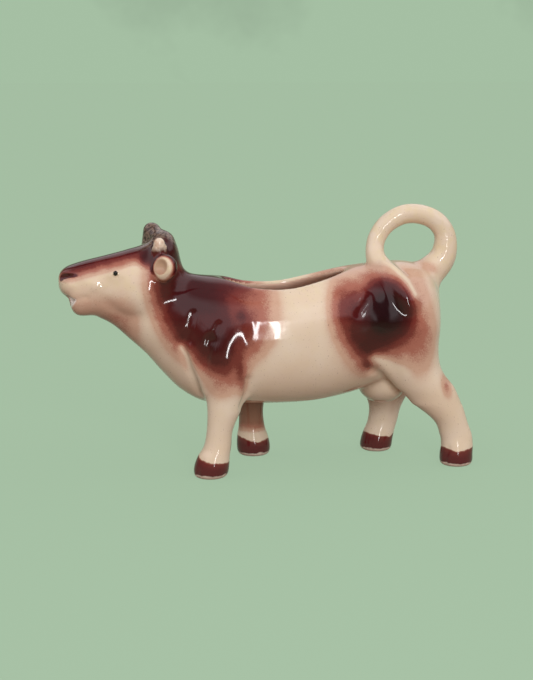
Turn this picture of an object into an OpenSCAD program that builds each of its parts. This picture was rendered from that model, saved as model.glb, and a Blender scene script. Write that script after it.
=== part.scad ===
// A glazed earthenware jug in the form of a standing cow.
// The barrel and head are one hollow: filled through the oval hole in the back, poured from the mouth,
// and held by the tail, which loops forward on to the near haunch.
// X runs from the nose (minus) to the tail (plus), Y from the cow's left side (minus) to its right side,
// Z up from the table. The origin lies on the table under the middle of the whole.

/* [Body] */
// Length from the nape, where head and neck meet, to the rump
body_l = 110.7; // [90:0.1:140]
// Width of the barrel at its widest
barrel_w = 50; // [40:0.5:64]
// Height of the barrel, from the belly to the lowest part of the back
barrel_h = 52; // [44:0.5:66]
// Thickness of the cast wall of the barrel and the head
wall = 3.5; // [2.5:0.1:4.5]

/* [Filling hole] */
// Length of the oval filling hole in the back
hole_l = 50; // [36:0.5:60]
// Width of the oval filling hole
hole_w = 23; // [16:0.5:28]

/* [Head] */
// Length from the nose to the nape
head_l = 49.5; // [42:0.5:60]
// Height from the chin to the poll, which is the crest between the horns
head_h = 31.6; // [26:0.2:38]
// Width of the head across the cheeks
head_w = 25.6; // [21:0.2:32]
// Height of the chin above the belly
head_lift = 38; // [34:0.5:44]
// Lean of the seam between head and neck, from upright
seam_lean = 32; // [26:1:36]

/* [Face] */
// Height of the bead of an eye
eye_d = 2.8; // [2:0.1:4]
// Length of a nostril
nostril_l = 7; // [5:0.2:9]
// Height of a nostril
nostril_h = 2; // [1.2:0.1:2.6]
// Distance between the middles of the nostrils
nostril_gap = 14; // [11:0.2:17]
// Turn of a nostril's slit towards the tip of the nose
nostril_turn = 24; // [10:1:40]

/* [Mouth] */
// Width of the oval pouring hole between the lips
mouth_w = 11; // [8:0.2:13]
// Height of the pouring hole, square to its run
mouth_h = 6.2; // [4.5:0.1:7]
// Slope of the pouring hole, down towards the lips
mouth_slope = 20; // [10:1:30]

/* [Legs] */
// Height of the belly above the table
leg_h = 27; // [22:0.5:34]
// Thickness of a leg at its thinnest, from front to back
shank_l = 10.4; // [9:0.1:12]
// Thickness of a leg at its thinnest, from side to side
shank_w = 10.4; // [9:0.1:12]
// How far the middle of a foot stands in from the side of the barrel
foot_inset = 8.5; // [6:0.5:11]
// Distance from the rump forward to the top of the front legs
shoulder_set = 95; // [90:0.5:100]
// Distance from the rump forward to the top of the hind legs
hip_set = 17.3; // [15:0.5:22]
// How far the front left foot steps forward of its shoulder
front_left_step = 6; // [2:0.2:9]
// How far the front right foot is left behind its shoulder
front_right_step = 18; // [12:0.2:20]
// How far the hind left foot is left behind its hip
rear_left_step = 21.5; // [16:0.2:24]
// How far the hind right foot steps forward of its hip
rear_right_step = 5; // [1:0.2:8]

/* [Tail handle] */
// Thickness of the tail strand over the top of the loop
tail_d = 8.4; // [7:0.1:10]
// Length of the loop, between the middles of its two upright runs
loop_l = 30; // [26:0.5:34]
// Height of the middle of the strand above the back, at the top of the loop
loop_h = 25.6; // [22:0.2:30]

/* [Ears and horns] */
// Length of an ear, up and down
ear_l = 13; // [10:0.2:15]
// Width of an ear across its cup
ear_w = 11.4; // [9:0.2:13]
// Depth of the hollow in the ear
cup_d = 2.6; // [1.5:0.1:3.5]
// Thickness of the rim round the cup of an ear
ear_rim = 1.7; // [1.2:0.1:2.2]
// How far an ear stands out from the side of the head
ear_out = 8; // [6:0.2:10]
// Turn of the ears' cups towards the nose
ear_turn = 26; // [10:1:40]
// Tilt of the ears' cups towards the sky
ear_tilt = 10; // [0:1:20]
// Length of a horn from its root inside the head to its tip
horn_l = 11.2; // [10:0.2:15]
// Thickness of a horn at its root
horn_d = 9; // [7:0.2:11]
// Lean of the horns away from each other, from upright
horn_splay = 14; // [0:1:25]
// Length of the poll, the crest between the horns, from front to back
poll_l = 10; // [8:0.2:12]
// Width of the poll from side to side
poll_w = 17; // [12:0.2:20]
// Height of the poll, half of it sunk in the head
poll_h = 16; // [13:0.2:19]

/* [Udder] */
// Length of the udder
udder_l = 21; // [16:0.5:26]
// Width of the udder
udder_w = 24; // [18:0.5:28]
// How far the udder hangs below the belly's own line
udder_drop = 9.6; // [7:0.2:12]

/* [Hidden] */

cream = "#dcc3a5";
horn_brown = "#7d6a5c";

// How far the heel of the stretched hind foot reaches past the rump
heel_reach = rear_left_step - hip_set + shank_l * 0.68;
cow_l = head_l + body_l + heel_reach;
nape_x = head_l - cow_l / 2;
rump_x = nape_x + body_l;
back_z = leg_h + barrel_h;
chin_z = leg_h + head_lift;

// Distance between the middles of a left and a right foot
track = barrel_w - 2 * foot_inset;

// Facets round the barrel and head, their hollow, the filling hole, the mouth, a leg, the tail, an ear
// or horn, and a bead or slit
body_sides = 36;
cavity_sides = 22;
hole_sides = 48;
mouth_sides = 24;
leg_sides = 18;
tail_sides = 14;
ear_sides = 18;
bead_sides = 12;

// How far a span's tongue reaches into the next span, and how wide it is there
tongue_reach_share = 0.3;
tongue_width_share = 0.7;

// Sections of the barrel and neck from the throat to the rump. Each has its top and its bottom point,
// (run along body_l from the nape, rise along barrel_h from the belly), then its half width as a share
// of the barrel's, the level of its widest place, and the roundness of its outline.
trunk_shares = [
    [-0.17, 1.18, -0.285, 0.74, 0.20, 0.45, 2.1],
    [-0.13, 1.17, -0.25, 0.67, 0.34, 0.45, 2.1],
    [-0.08, 1.15, -0.19, 0.55, 0.46, 0.46, 2.1],
    [-0.02, 1.11, -0.13, 0.43, 0.56, 0.47, 2.1],
    [0.04, 1.06, -0.07, 0.28, 0.66, 0.48, 2.1],
    [0.10, 1.04, 0.00, 0.13, 0.78, 0.50, 2.2],
    [0.18, 1.03, 0.09, 0.03, 0.90, 0.52, 2.3],
    [0.27, 1.00, 0.21, 0.01, 0.97, 0.54, 2.3],
    [0.39, 1.00, 0.36, 0.00, 1.00, 0.55, 2.3],
    [0.51, 1.04, 0.50, 0.01, 1.00, 0.55, 2.3],
    [0.63, 1.08, 0.63, 0.06, 0.98, 0.53, 2.3],
    [0.74, 1.11, 0.74, 0.13, 0.94, 0.50, 2.3],
    [0.84, 1.12, 0.84, 0.18, 0.88, 0.48, 2.3],
    [0.905, 1.10, 0.905, 0.22, 0.74, 0.47, 2.3],
    [0.95, 1.06, 0.95, 0.28, 0.57, 0.47, 2.3],
    [0.98, 0.98, 0.98, 0.37, 0.37, 0.47, 2.3],
    [0.995, 0.87, 0.995, 0.51, 0.17, 0.47, 2.2],
    [1.00, 0.76, 1.00, 0.63, 0.07, 0.47, 2.0]
];

// Sections of the head from the nose to the nape, in the same form: run along head_l from the nape
// to the nose, rise along head_h from the chin, half width as a share of the head's.
head_shares = [
    [1.00, 0.53, 0.995, 0.44, 0.19, 0.50, 2.0],
    [0.98, 0.60, 0.965, 0.35, 0.45, 0.50, 2.1],
    [0.935, 0.66, 0.91, 0.20, 0.63, 0.50, 2.3],
    [0.87, 0.70, 0.885, 0.09, 0.69, 0.50, 2.4],
    [0.78, 0.74, 0.83, 0.03, 0.71, 0.48, 2.4],
    [0.64, 0.79, 0.69, 0.03, 0.77, 0.46, 2.3],
    [0.48, 0.85, 0.51, 0.02, 0.89, 0.44, 2.2],
    [0.335, 0.91, 0.36, 0.03, 1.00, 0.42, 2.2],
    [0.205, 0.99, 0.235, 0.07, 0.98, 0.42, 2.2],
    [0.10, 0.98, 0.125, 0.18, 0.86, 0.42, 2.1],
    [0.03, 0.87, 0.05, 0.32, 0.64, 0.42, 2.0],
    [0.00, 0.74, 0.01, 0.48, 0.34, 0.42, 2.0]
];

// Cross-sections of a front leg from the sole up: level (the first 1 spans leg_h, the rest is a share of
// barrel_h), half depth and half breadth as shares of half the shank's, and how far out as a share of
// half the track.
front_leg_shares = [
    [0.00, 1.06, 1.00, 1.03],
    [0.06, 1.34, 1.24, 1.03],
    [0.18, 1.38, 1.27, 1.03],
    [0.32, 1.27, 1.16, 1.03],
    [0.48, 1.08, 1.02, 1.03],
    [0.72, 1.03, 1.00, 1.03],
    [1.00, 1.30, 1.12, 1.03],
    [1.16, 1.62, 1.40, 0.98],
    [1.32, 1.96, 1.80, 0.89],
    [1.47, 2.16, 2.04, 0.83],
    [1.62, 2.00, 1.80, 0.76],
    [1.77, 1.50, 1.05, 0.66]
];
// The share of its step that the leg has reached at each of those levels
front_left_shares = [1.00, 0.96, 0.90, 0.76, 0.50, 0.34, 0.05, -0.15, -0.05, 0.10, 0.00, -0.10];
front_right_shares = [1.00, 1.00, 0.99, 0.97, 0.95, 0.93, 0.90, 0.72, 0.50, 0.30, 0.15, 0.10];

// The same for a hind leg
rear_leg_shares = [
    [0.00, 1.06, 1.02, 0.95],
    [0.06, 1.32, 1.25, 0.95],
    [0.18, 1.34, 1.25, 0.95],
    [0.32, 1.30, 1.15, 0.95],
    [0.48, 1.26, 1.02, 0.95],
    [0.72, 1.38, 1.06, 0.95],
    [1.00, 2.02, 1.28, 0.94],
    [1.15, 2.26, 1.58, 0.90],
    [1.30, 2.42, 1.86, 0.85],
    [1.47, 2.46, 2.12, 0.82],
    [1.66, 2.56, 2.16, 0.79],
    [1.84, 2.30, 1.70, 0.72],
    [1.98, 1.60, 1.00, 0.60]
];
rear_left_shares = [1.00, 1.00, 1.00, 1.01, 0.97, 0.86, 0.575, 0.30, 0.07, 0.00, 0.00, 0.00, 0.00];
rear_right_shares = [1.04, 1.08, 1.00, 0.80, 0.50, 0.28, 0.12, 0.05, 0.05, 0.05, 0.00, 0.00, 0.00];

// The middle of the tail strand from its root in the rump, over the loop and down on to the near haunch:
// run along loop_l from the middle of the loop, rise along loop_h from the back, how far to the left as a
// share of half the barrel's width, and thickness as a share of tail_d.
tail_shares = [
    [0.02, -0.24, 0.00, 1.50],
    [0.27, 0.02, 0.00, 1.55],
    [0.45, 0.24, 0.00, 1.36],
    [0.51, 0.46, 0.00, 1.20],
    [0.49, 0.69, 0.00, 1.06],
    [0.36, 0.89, 0.00, 1.00],
    [0.14, 1.00, 0.00, 0.98],
    [-0.11, 1.00, 0.00, 0.97],
    [-0.34, 0.86, 0.00, 0.93],
    [-0.48, 0.65, 0.02, 0.90],
    [-0.53, 0.45, 0.08, 0.92],
    [-0.52, 0.28, 0.20, 1.00],
    [-0.43, 0.10, 0.44, 1.06],
    [-0.33, -0.09, 0.66, 1.04],
    [-0.23, -0.30, 0.82, 0.86],
    [-0.17, -0.46, 0.88, 0.50]
];
loop_x = rump_x - loop_l * 0.43;

// A row of numbers between rows i and i + 1, so that the whole table flows smoothly through its rows
function between(rows, i, u) =
    let (
        a = rows[max(i - 1, 0)],
        b = rows[i],
        c = rows[i + 1],
        d = rows[min(i + 2, len(rows) - 1)]
    )
    (2 * b + (c - a) * u + (2 * a - 5 * b + 4 * c - d) * u * u + (3 * b - a - 3 * c + d) * u * u * u) / 2;

function flowing(rows, steps) = concat(
    [for (i = [0 : len(rows) - 2]) for (j = [0 : steps - 1]) between(rows, i, j / steps)],
    [rows[len(rows) - 1]]
);

function bent(c, n) = sign(c) * pow(abs(c), 2 / n);

// The outline of one section: top and bottom point, half width, level of the widest place, roundness
function section_ring(s, inset, sides) =
    let (
        top = [s[0], 0, s[1]],
        base = [s[2], 0, s[3]],
        down = (base - top) / norm(base - top),
        t = top + inset * down,
        b = base - inset * down,
        mid = b + (t - b) * s[5]
    )
    [for (i = [0 : sides - 1])
        let (across = bent(cos(360 * i / sides), s[6]), rise = bent(sin(360 * i / sides), s[6]))
        mid + (rise > 0 ? (t - mid) * rise : (mid - b) * rise) + [0, (s[4] - inset) * across, 0]
    ];

// The middle of a ring, and a smaller ring part of the way from one ring to the next
function middle(ring) = [for (p = ring) 1] * ring / len(ring);

function tongue(a, b) =
    let (tip = a + tongue_reach_share * (b - a), c = middle(tip))
    [for (p = tip) c + tongue_width_share * (p - c)];

// A smooth body through rings of as many points each. Every span has a tongue that reaches into the next,
// so that the spans share a volume and not just a face.
module loft(rings) {
    for (i = [0 : len(rings) - 2]) {
        next = min(i + 2, len(rings) - 1);
        points = concat(rings[i], rings[i + 1], tongue(rings[i + 1], rings[next]));
        hull() polyhedron(points, [for (k = [0 : len(points) - 3]) [k, k + 1, k + 2]]);
    }
}

// The cavity's ends lie one wall inside the outer form's: its sections are drawn together by this share
function drawn(x, from, to, inset) = x + inset * (from + to - 2 * x) / (to - from);

function trunk_station(s, inset) = [
    drawn(nape_x + s[0] * body_l, nape_x, rump_x, inset),
    leg_h + s[1] * barrel_h,
    drawn(nape_x + s[2] * body_l, nape_x, rump_x, inset),
    leg_h + s[3] * barrel_h,
    s[4] * barrel_w / 2,
    s[5],
    s[6]
];

function head_station(s, inset) = [
    drawn(nape_x - s[0] * head_l, nape_x - head_l, nape_x, inset),
    chin_z + s[1] * head_h,
    drawn(nape_x - s[2] * head_l, nape_x - head_l, nape_x, inset),
    chin_z + s[3] * head_h,
    s[4] * head_w / 2,
    s[5],
    s[6]
];

// A section is left out of the cavity where it would be narrower than one wall
module trunk_form(inset, sides) {
    stations = [for (s = flowing(trunk_shares, 2)) trunk_station(s, inset)];
    loft([for (s = stations) if (2 * (s[4] - inset) >= inset) section_ring(s, inset, sides)]);
}

module head_form(inset, sides) {
    stations = [for (s = flowing(head_shares, 2)) head_station(s, inset)];
    loft([for (s = stations) if (2 * (s[4] - inset) >= inset) section_ring(s, inset, sides)]);
}

// The poll is the crest of hair that stands between the horns
module poll() {
    translate([nape_x - head_l * 0.13, 0, chin_z + head_h * 0.86])
        scale([poll_l, poll_w, poll_h])
            sphere(d = 1, $fn = ear_sides);
}

module outer_form() {
    trunk_form(0, body_sides);
    head_form(0, body_sides);
    poll();
}

module cavity() {
    trunk_form(wall, cavity_sides);
    head_form(wall, cavity_sides);
}

// Everything in front of the seam between head and neck
module ahead_of_seam() {
    reach = cow_l;
    translate([nape_x, 0, chin_z + head_h * 0.7])
        rotate([0, seam_lean, 0])
            translate([-reach, -reach / 2, -reach / 2])
                cube(reach);
}

module filling_hole() {
    translate([nape_x + body_l * 0.393, 0, back_z - barrel_h / 2])
        scale([hole_l / hole_w, 1, 1])
            cylinder(h = barrel_h, d = hole_w, $fn = hole_sides);
}

// The pouring hole, from the lips back into the hollow of the head
module pouring_hole() {
    translate([nape_x - head_l * 0.90, 0, chin_z + head_h * 0.24])
        rotate([0, -90 - mouth_slope, 0])
            translate([0, 0, -head_l * 0.22])
                scale([1, mouth_w / mouth_h, 1])
                    cylinder(h = head_l / 2, d = mouth_h, $fn = mouth_sides);
}

module body_shell() {
    color(cream)
        difference() {
            outer_form();
            ahead_of_seam();
            cavity();
            filling_hole();
        }
}

// A nostril is a tapered slit in the side of the nose, an eye a low bead under the brow
module nostril(side) {
    translate([nape_x - head_l * 0.905, side * nostril_gap / 2, chin_z + head_h * 0.56])
        rotate([0, 0, side * nostril_turn])
            scale([nostril_l, nostril_h, nostril_h])
                sphere(d = 1, $fn = bead_sides);
}

module eye(side) {
    translate([nape_x - head_l * 0.55, side * head_w * 0.385, chin_z + head_h * 0.62])
        scale([eye_d * 1.5, eye_d, eye_d])
            sphere(d = 1, $fn = bead_sides);
}

module head() {
    color(cream)
        difference() {
            union() {
                intersection() {
                    outer_form();
                    ahead_of_seam();
                }
                eye(-1);
                eye(1);
            }
            cavity();
            pouring_hole();
            nostril(-1);
            nostril(1);
        }
}

// The rings of a leg: its foot stands `step` behind its root at root_x, on one side of the cow
function leg_rings(rows, lean_shares, root_x, step, side) = [
    for (s = flowing([for (i = [0 : len(rows) - 1]) concat(rows[i], lean_shares[i])], 2))
        let (
            x = root_x + step * s[4],
            y = side * s[3] * track / 2,
            z = min(s[0], 1) * leg_h + max(s[0] - 1, 0) * barrel_h
        )
        [for (k = [0 : leg_sides - 1])
            let (a = 360 * k / leg_sides)
            [x + s[1] * shank_l / 2 * cos(a), y + s[2] * shank_w / 2 * sin(a), z]
        ]
];

module front_leg(lean_shares, step, side) {
    loft(leg_rings(front_leg_shares, lean_shares, rump_x - shoulder_set, step, side));
}

module rear_leg(lean_shares, step, side) {
    loft(leg_rings(rear_leg_shares, lean_shares, rump_x - hip_set, step, side));
}

module rear_left_form() {
    rear_leg(rear_left_shares, rear_left_step, -1);
}

module rear_right_form() {
    rear_leg(rear_right_shares, -rear_right_step, 1);
}

module front_left_leg() {
    color(cream)
        difference() {
            front_leg(front_left_shares, -front_left_step, -1);
            outer_form();
        }
}

module front_right_leg() {
    color(cream)
        difference() {
            front_leg(front_right_shares, front_right_step, 1);
            outer_form();
        }
}

module rear_left_leg() {
    color(cream)
        difference() {
            rear_left_form();
            outer_form();
        }
}

module rear_right_leg() {
    color(cream)
        difference() {
            rear_right_form();
            outer_form();
        }
}

// The rings of a strand that runs through points [x, y, z, thickness]
function strand_rings(points, sides) = [
    for (i = [0 : len(points) - 1])
        let (
            p = points[i],
            gap = points[min(i + 1, len(points) - 1)] - points[max(i - 1, 0)],
            along = [gap[0], gap[1], gap[2]] / norm([gap[0], gap[1], gap[2]]),
            level = cross(along, [0, 1, 0]) / norm(cross(along, [0, 1, 0])),
            out = cross(along, level)
        )
        [for (k = [0 : sides - 1])
            let (a = 360 * k / sides)
            [p[0], p[1], p[2]] + p[3] / 2 * (cos(a) * level + sin(a) * out)
        ]
];

module tail_form() {
    points = [for (s = flowing(tail_shares, 2)) [
        loop_x + s[0] * loop_l,
        -s[2] * barrel_w / 2,
        back_z + s[1] * loop_h,
        s[3] * tail_d
    ]];
    loft(strand_rings(points, tail_sides));
}

module tail_handle() {
    color(cream)
        difference() {
            tail_form();
            outer_form();
            rear_left_form();
        }
}

// An ear widens from its root in the side of the head to a cup that faces sideways and a little forward
module ear_place(side) {
    translate([nape_x - head_l * 0.15, side * (head_w / 2 - ear_rim), chin_z + head_h * 0.70])
        rotate([side * ear_tilt, 0, side * ear_turn])
            children();
}

module ear_form(side) {
    ear_place(side)
        hull() {
            sphere(d = ear_w * 0.6, $fn = ear_sides);
            translate([0, side * ear_out / 2, 0])
                scale([ear_w, ear_out, ear_l])
                    sphere(d = 1, $fn = ear_sides);
        }
}

module ear(side) {
    color(cream)
        difference() {
            ear_form(side);
            ear_place(side)
                translate([0, side * ear_out, 0])
                    scale([ear_w - 2 * ear_rim, 2 * cup_d, ear_l - 2 * ear_rim])
                        sphere(d = 1, $fn = ear_sides);
            outer_form();
        }
}

module left_ear() {
    ear(-1);
}

module right_ear() {
    ear(1);
}

// A horn is a blunt nub that stands up from the side of the poll
module horn(side) {
    tip_d = horn_d * 0.7;
    color(horn_brown)
        difference() {
            translate([nape_x - head_l * 0.19, side * head_w * 0.32, chin_z + head_h * 0.76])
                rotate([-side * horn_splay, 0, 0])
                    hull() {
                        sphere(d = horn_d, $fn = ear_sides);
                        translate([0, 0, horn_l - tip_d / 2])
                            sphere(d = tip_d, $fn = ear_sides);
                    }
            outer_form();
            ear_form(side);
        }
}

module left_horn() {
    horn(-1);
}

module right_horn() {
    horn(1);
}

module udder() {
    color(cream)
        difference() {
            translate([rump_x - body_l * 0.223, 0, leg_h + barrel_h * 0.14])
                scale([udder_l, udder_w, 2 * udder_drop])
                    sphere(d = 1, $fn = cavity_sides);
            outer_form();
            rear_left_form();
            rear_right_form();
        }
}

body_shell();
head();
front_left_leg();
front_right_leg();
rear_left_leg();
rear_right_leg();
tail_handle();
left_ear();
right_ear();
left_horn();
right_horn();
udder();
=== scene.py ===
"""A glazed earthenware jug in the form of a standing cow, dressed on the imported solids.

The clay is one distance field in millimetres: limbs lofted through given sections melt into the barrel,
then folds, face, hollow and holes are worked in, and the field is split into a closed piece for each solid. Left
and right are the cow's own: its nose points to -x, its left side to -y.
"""

import math

import bpy
import numpy as np
import openvdb
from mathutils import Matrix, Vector


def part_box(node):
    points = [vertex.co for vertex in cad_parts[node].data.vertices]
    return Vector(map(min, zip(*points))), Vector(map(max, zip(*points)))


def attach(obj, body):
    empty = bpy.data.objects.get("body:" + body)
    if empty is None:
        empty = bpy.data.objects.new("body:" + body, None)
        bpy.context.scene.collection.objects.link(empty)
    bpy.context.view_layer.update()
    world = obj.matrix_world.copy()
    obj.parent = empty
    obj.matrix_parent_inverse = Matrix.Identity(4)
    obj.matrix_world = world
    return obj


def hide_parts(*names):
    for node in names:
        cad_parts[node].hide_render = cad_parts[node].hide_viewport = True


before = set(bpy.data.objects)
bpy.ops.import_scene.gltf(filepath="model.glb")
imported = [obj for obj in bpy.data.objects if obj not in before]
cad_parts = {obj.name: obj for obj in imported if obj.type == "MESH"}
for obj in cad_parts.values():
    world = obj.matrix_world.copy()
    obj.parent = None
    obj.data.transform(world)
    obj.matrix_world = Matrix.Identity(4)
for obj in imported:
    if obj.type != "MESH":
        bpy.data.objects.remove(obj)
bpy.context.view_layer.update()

PIECES = ["body_shell", "head", "front_left_leg", "front_right_leg", "rear_left_leg", "rear_right_leg"]
PIECES += ["tail_handle", "left_ear", "right_ear", "left_horn", "right_horn", "udder"]

# Sizes, in millimetres and degrees, as in the solids where those have them
MM = 0.001
BODY_L, BARREL_W, BARREL_H, WALL = 110.7, 50.0, 52.0, 3.5
HOLE_L, HOLE_W = 50.0, 23.0
HEAD_L, HEAD_H, HEAD_W, HEAD_LIFT, SEAM_LEAN = 49.5, 31.6, 25.6, 38.0, 32.0
EYE_R, MOUTH_W, MOUTH_H, MOUTH_SLOPE = 1.064, 6.0, 6.2, 20.0
# The groove between the lips: how steep its upper and lower sides are, and how far left of the middle it ends
NOTCH_UP, NOTCH_DOWN, NOTCH_FLOOR = 22.0, 60.0, 4.0
LIP_RADII = (4.0, 8.0, 4.2)
LEG_H, SHANK_L, SHANK_W, TRACK = 27.0, 10.4, 10.4, 33.0
SHOULDER_SET, HIP_SET = 95.0, 17.3
FRONT_LEFT_STEP, FRONT_RIGHT_STEP, REAR_LEFT_STEP, REAR_RIGHT_STEP = 6.0, 18.0, 21.5, 5.0
TAIL_D, LOOP_L, LOOP_H = 8.4, 30.0, 25.6
EAR_L, EAR_W, CUP_D, EAR_RIM, EAR_OUT, EAR_TURN, EAR_TILT = 10.0, 9.8, 3.2, 1.6, 8.0, 26.0, 6.0
CUP_SHIFT = (-1.4, 0, 0.4)
HORN_SPLAY = 12.0
# Length, thickness and how far forward each horn stands
HORNS = {"left": (9.2, 6.8, 0.0), "right": (13.4, 10.0, 1.0)}
POLL_L, POLL_W, POLL_H = 10.0, 17.0, 15.0
UDDER_L, UDDER_W, UDDER_DROP = 21.0, 24.0, 9.6

COW_L = HEAD_L + BODY_L + REAR_LEFT_STEP - HIP_SET + SHANK_L * 0.68
NAPE_X = HEAD_L - COW_L / 2
RUMP_X = NAPE_X + BODY_L
BACK_Z = LEG_H + BARREL_H
CHIN_Z = LEG_H + HEAD_LIFT
LOOP_X = RUMP_X - LOOP_L * 0.43

# Places on the head, as shares: how far from the nape to the nose, and how far up from the chin
EAR_AT, HORN_AT, POLL_AT = (0.12, 0.68), (0.19, 0.76), (0.13, 0.84)
MOUTH_AT, NOTCH_AT, LIP_AT = (0.90, 0.24), (0.872, 0.27), (0.915, 0.42)
# Places along the barrel, as shares: the filling hole from the nape, the udder from the rump and up
HOLE_AT, UDDER_AT, UDDER_UP = 0.393, 0.223, 0.14

# Fineness of the clay, how far its distances are known either side of its skin, and fineness of the lofts
VOXEL = 0.6
BAND = 7.2
ROUND_SIDES, SPAN_STEPS = 256, 16
# Steps that smooth the skin without shrinking it, the joints and the skin's normals
SKIN_EASE, JOINT_EASE, NORMAL_EASE = (0.5, -0.53) * 6, (0.5,) * 6, (0.5,) * 4

# Sections of the barrel and neck from the throat to the rump: top point and bottom point (how far along from the
# nape, how far up from the belly), half width, widest level, roundness
TRUNK_SHARES = [
    [-0.17, 1.18, -0.285, 0.74, 0.2, 0.45, 2.1],
    [-0.13, 1.17, -0.25, 0.67, 0.34, 0.45, 2.1],
    [-0.08, 1.15, -0.19, 0.55, 0.46, 0.46, 2.1],
    [-0.02, 1.11, -0.13, 0.43, 0.56, 0.47, 2.1],
    [0.04, 1.06, -0.07, 0.28, 0.66, 0.48, 2.1],
    [0.1, 1.04, 0, 0.13, 0.78, 0.5, 2.2],
    [0.18, 1.03, 0.09, 0.03, 0.9, 0.52, 2.3],
    [0.27, 1, 0.21, 0.01, 0.97, 0.54, 2.3],
    [0.39, 1, 0.36, 0, 1, 0.55, 2.3],
    [0.51, 1.04, 0.5, 0.01, 1, 0.55, 2.3],
    [0.63, 1.08, 0.63, 0.06, 0.98, 0.53, 2.3],
    [0.74, 1.11, 0.74, 0.13, 0.94, 0.5, 2.3],
    [0.84, 1.12, 0.84, 0.18, 0.88, 0.48, 2.3],
    [0.905, 1.1, 0.905, 0.22, 0.74, 0.47, 2.3],
    [0.95, 1.06, 0.95, 0.28, 0.57, 0.47, 2.3],
    [0.98, 0.98, 0.98, 0.37, 0.37, 0.47, 2.3],
    [0.995, 0.87, 0.995, 0.51, 0.17, 0.47, 2.2],
    [1, 0.76, 1, 0.63, 0.07, 0.47, 2],
]

# The head in the same form, from the nose to the nape
HEAD_SHARES = [
    [1, 0.53, 0.995, 0.44, 0.19, 0.5, 2],
    [0.98, 0.6, 0.965, 0.35, 0.45, 0.5, 2.1],
    [0.935, 0.66, 0.91, 0.2, 0.63, 0.5, 2.3],
    [0.87, 0.7, 0.885, 0.09, 0.69, 0.5, 2.4],
    [0.78, 0.74, 0.83, 0.03, 0.71, 0.48, 2.4],
    [0.64, 0.79, 0.69, 0.03, 0.77, 0.46, 2.3],
    [0.48, 0.85, 0.51, 0.02, 0.89, 0.44, 2.2],
    [0.335, 0.91, 0.36, 0.03, 1, 0.42, 2.2],
    [0.205, 0.99, 0.235, 0.07, 0.98, 0.42, 2.2],
    [0.1, 0.98, 0.125, 0.18, 0.86, 0.42, 2.1],
    [0.03, 0.87, 0.05, 0.32, 0.64, 0.42, 2],
    [0, 0.74, 0.01, 0.48, 0.34, 0.42, 2],
]

# Legs from the sole up: level (to 1 up the leg, then up the barrel), half depth, half breadth, distance out
FRONT_LEG_SHARES = [
    [0, 1.06, 1, 1.03],
    [0.06, 1.34, 1.24, 1.03],
    [0.18, 1.38, 1.27, 1.03],
    [0.32, 1.27, 1.16, 1.03],
    [0.48, 1.08, 1.02, 1.03],
    [0.72, 1.03, 1, 1.03],
    [1, 1.3, 1.12, 1.03],
    [1.16, 1.62, 1.4, 0.98],
    [1.32, 1.96, 1.8, 0.89],
    [1.47, 2.16, 2.04, 0.83],
    [1.62, 2, 1.8, 0.76],
    [1.77, 1.5, 1.05, 0.66],
]
FRONT_LEFT_LEAN = [1, 0.96, 0.9, 0.76, 0.5, 0.34, 0.05, -0.15, -0.05, 0.1, 0, -0.1]
FRONT_RIGHT_LEAN = [1, 1, 0.99, 0.97, 0.95, 0.93, 0.9, 0.72, 0.5, 0.3, 0.15, 0.1]
REAR_LEG_SHARES = [
    [0, 1.06, 1.02, 0.95],
    [0.06, 1.32, 1.25, 0.95],
    [0.18, 1.34, 1.25, 0.95],
    [0.32, 1.3, 1.15, 0.95],
    [0.48, 1.26, 1.02, 0.95],
    [0.72, 1.38, 1.06, 0.95],
    [1, 2.02, 1.28, 0.94],
    [1.15, 2.26, 1.58, 0.9],
    [1.3, 2.42, 1.86, 0.85],
    [1.47, 2.46, 2.12, 0.82],
    [1.66, 2.56, 2.16, 0.79],
    [1.84, 2.3, 1.7, 0.72],
    [1.98, 1.6, 1, 0.6],
]
REAR_LEFT_LEAN = [1, 1, 1, 1.01, 0.97, 0.86, 0.575, 0.3, 0.07, 0, 0, 0, 0]
REAR_RIGHT_LEAN = [1.04, 1.08, 1, 0.8, 0.5, 0.28, 0.12, 0.05, 0.05, 0.05, 0, 0, 0]

# Legs: sections, how far each leans along its step, how far it is set from the rump, its step and its side
LEGS = {
    "front_left_leg": (FRONT_LEG_SHARES, FRONT_LEFT_LEAN, SHOULDER_SET, -FRONT_LEFT_STEP, -1),
    "front_right_leg": (FRONT_LEG_SHARES, FRONT_RIGHT_LEAN, SHOULDER_SET, FRONT_RIGHT_STEP, 1),
    "rear_left_leg": (REAR_LEG_SHARES, REAR_LEFT_LEAN, HIP_SET, REAR_LEFT_STEP, -1),
    "rear_right_leg": (REAR_LEG_SHARES, REAR_RIGHT_LEAN, HIP_SET, -REAR_RIGHT_STEP, 1),
}

# The middle of the tail: how far along the loop from its middle, up from the back and to the left, thickness
TAIL_SHARES = [
    [0.02, -0.24, 0, 1.5],
    [0.27, 0.02, 0, 1.55],
    [0.45, 0.24, 0, 1.36],
    [0.51, 0.46, 0, 1.2],
    [0.49, 0.69, 0, 1.06],
    [0.36, 0.89, 0, 1],
    [0.14, 1, 0, 0.98],
    [-0.11, 1, 0, 0.97],
    [-0.34, 0.86, 0, 0.93],
    [-0.48, 0.65, 0.02, 0.9],
    [-0.53, 0.45, 0.08, 0.92],
    [-0.52, 0.28, 0.2, 1],
    [-0.43, 0.1, 0.44, 1.06],
    [-0.33, -0.09, 0.66, 1.04],
    [-0.23, -0.3, 0.82, 0.86],
    [-0.17, -0.46, 0.88, 0.5],
]

# How widely two pieces of clay melt into each other
THROAT_MELT, LEG_MELT, TAIL_MELT, UDDER_MELT, EAR_MELT, HORN_MELT = 6.0, 5.0, 3.0, 2.2, 2.0, 2.0
RIM_MELT, WALL_MELT, LIP_MELT, CUP_MELT, SLIT_MELT, NOTCH_MELT, EYE_MELT = 3.0, 1.0, 1.2, 0.9, 0.6, 0.8, 0.3
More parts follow.
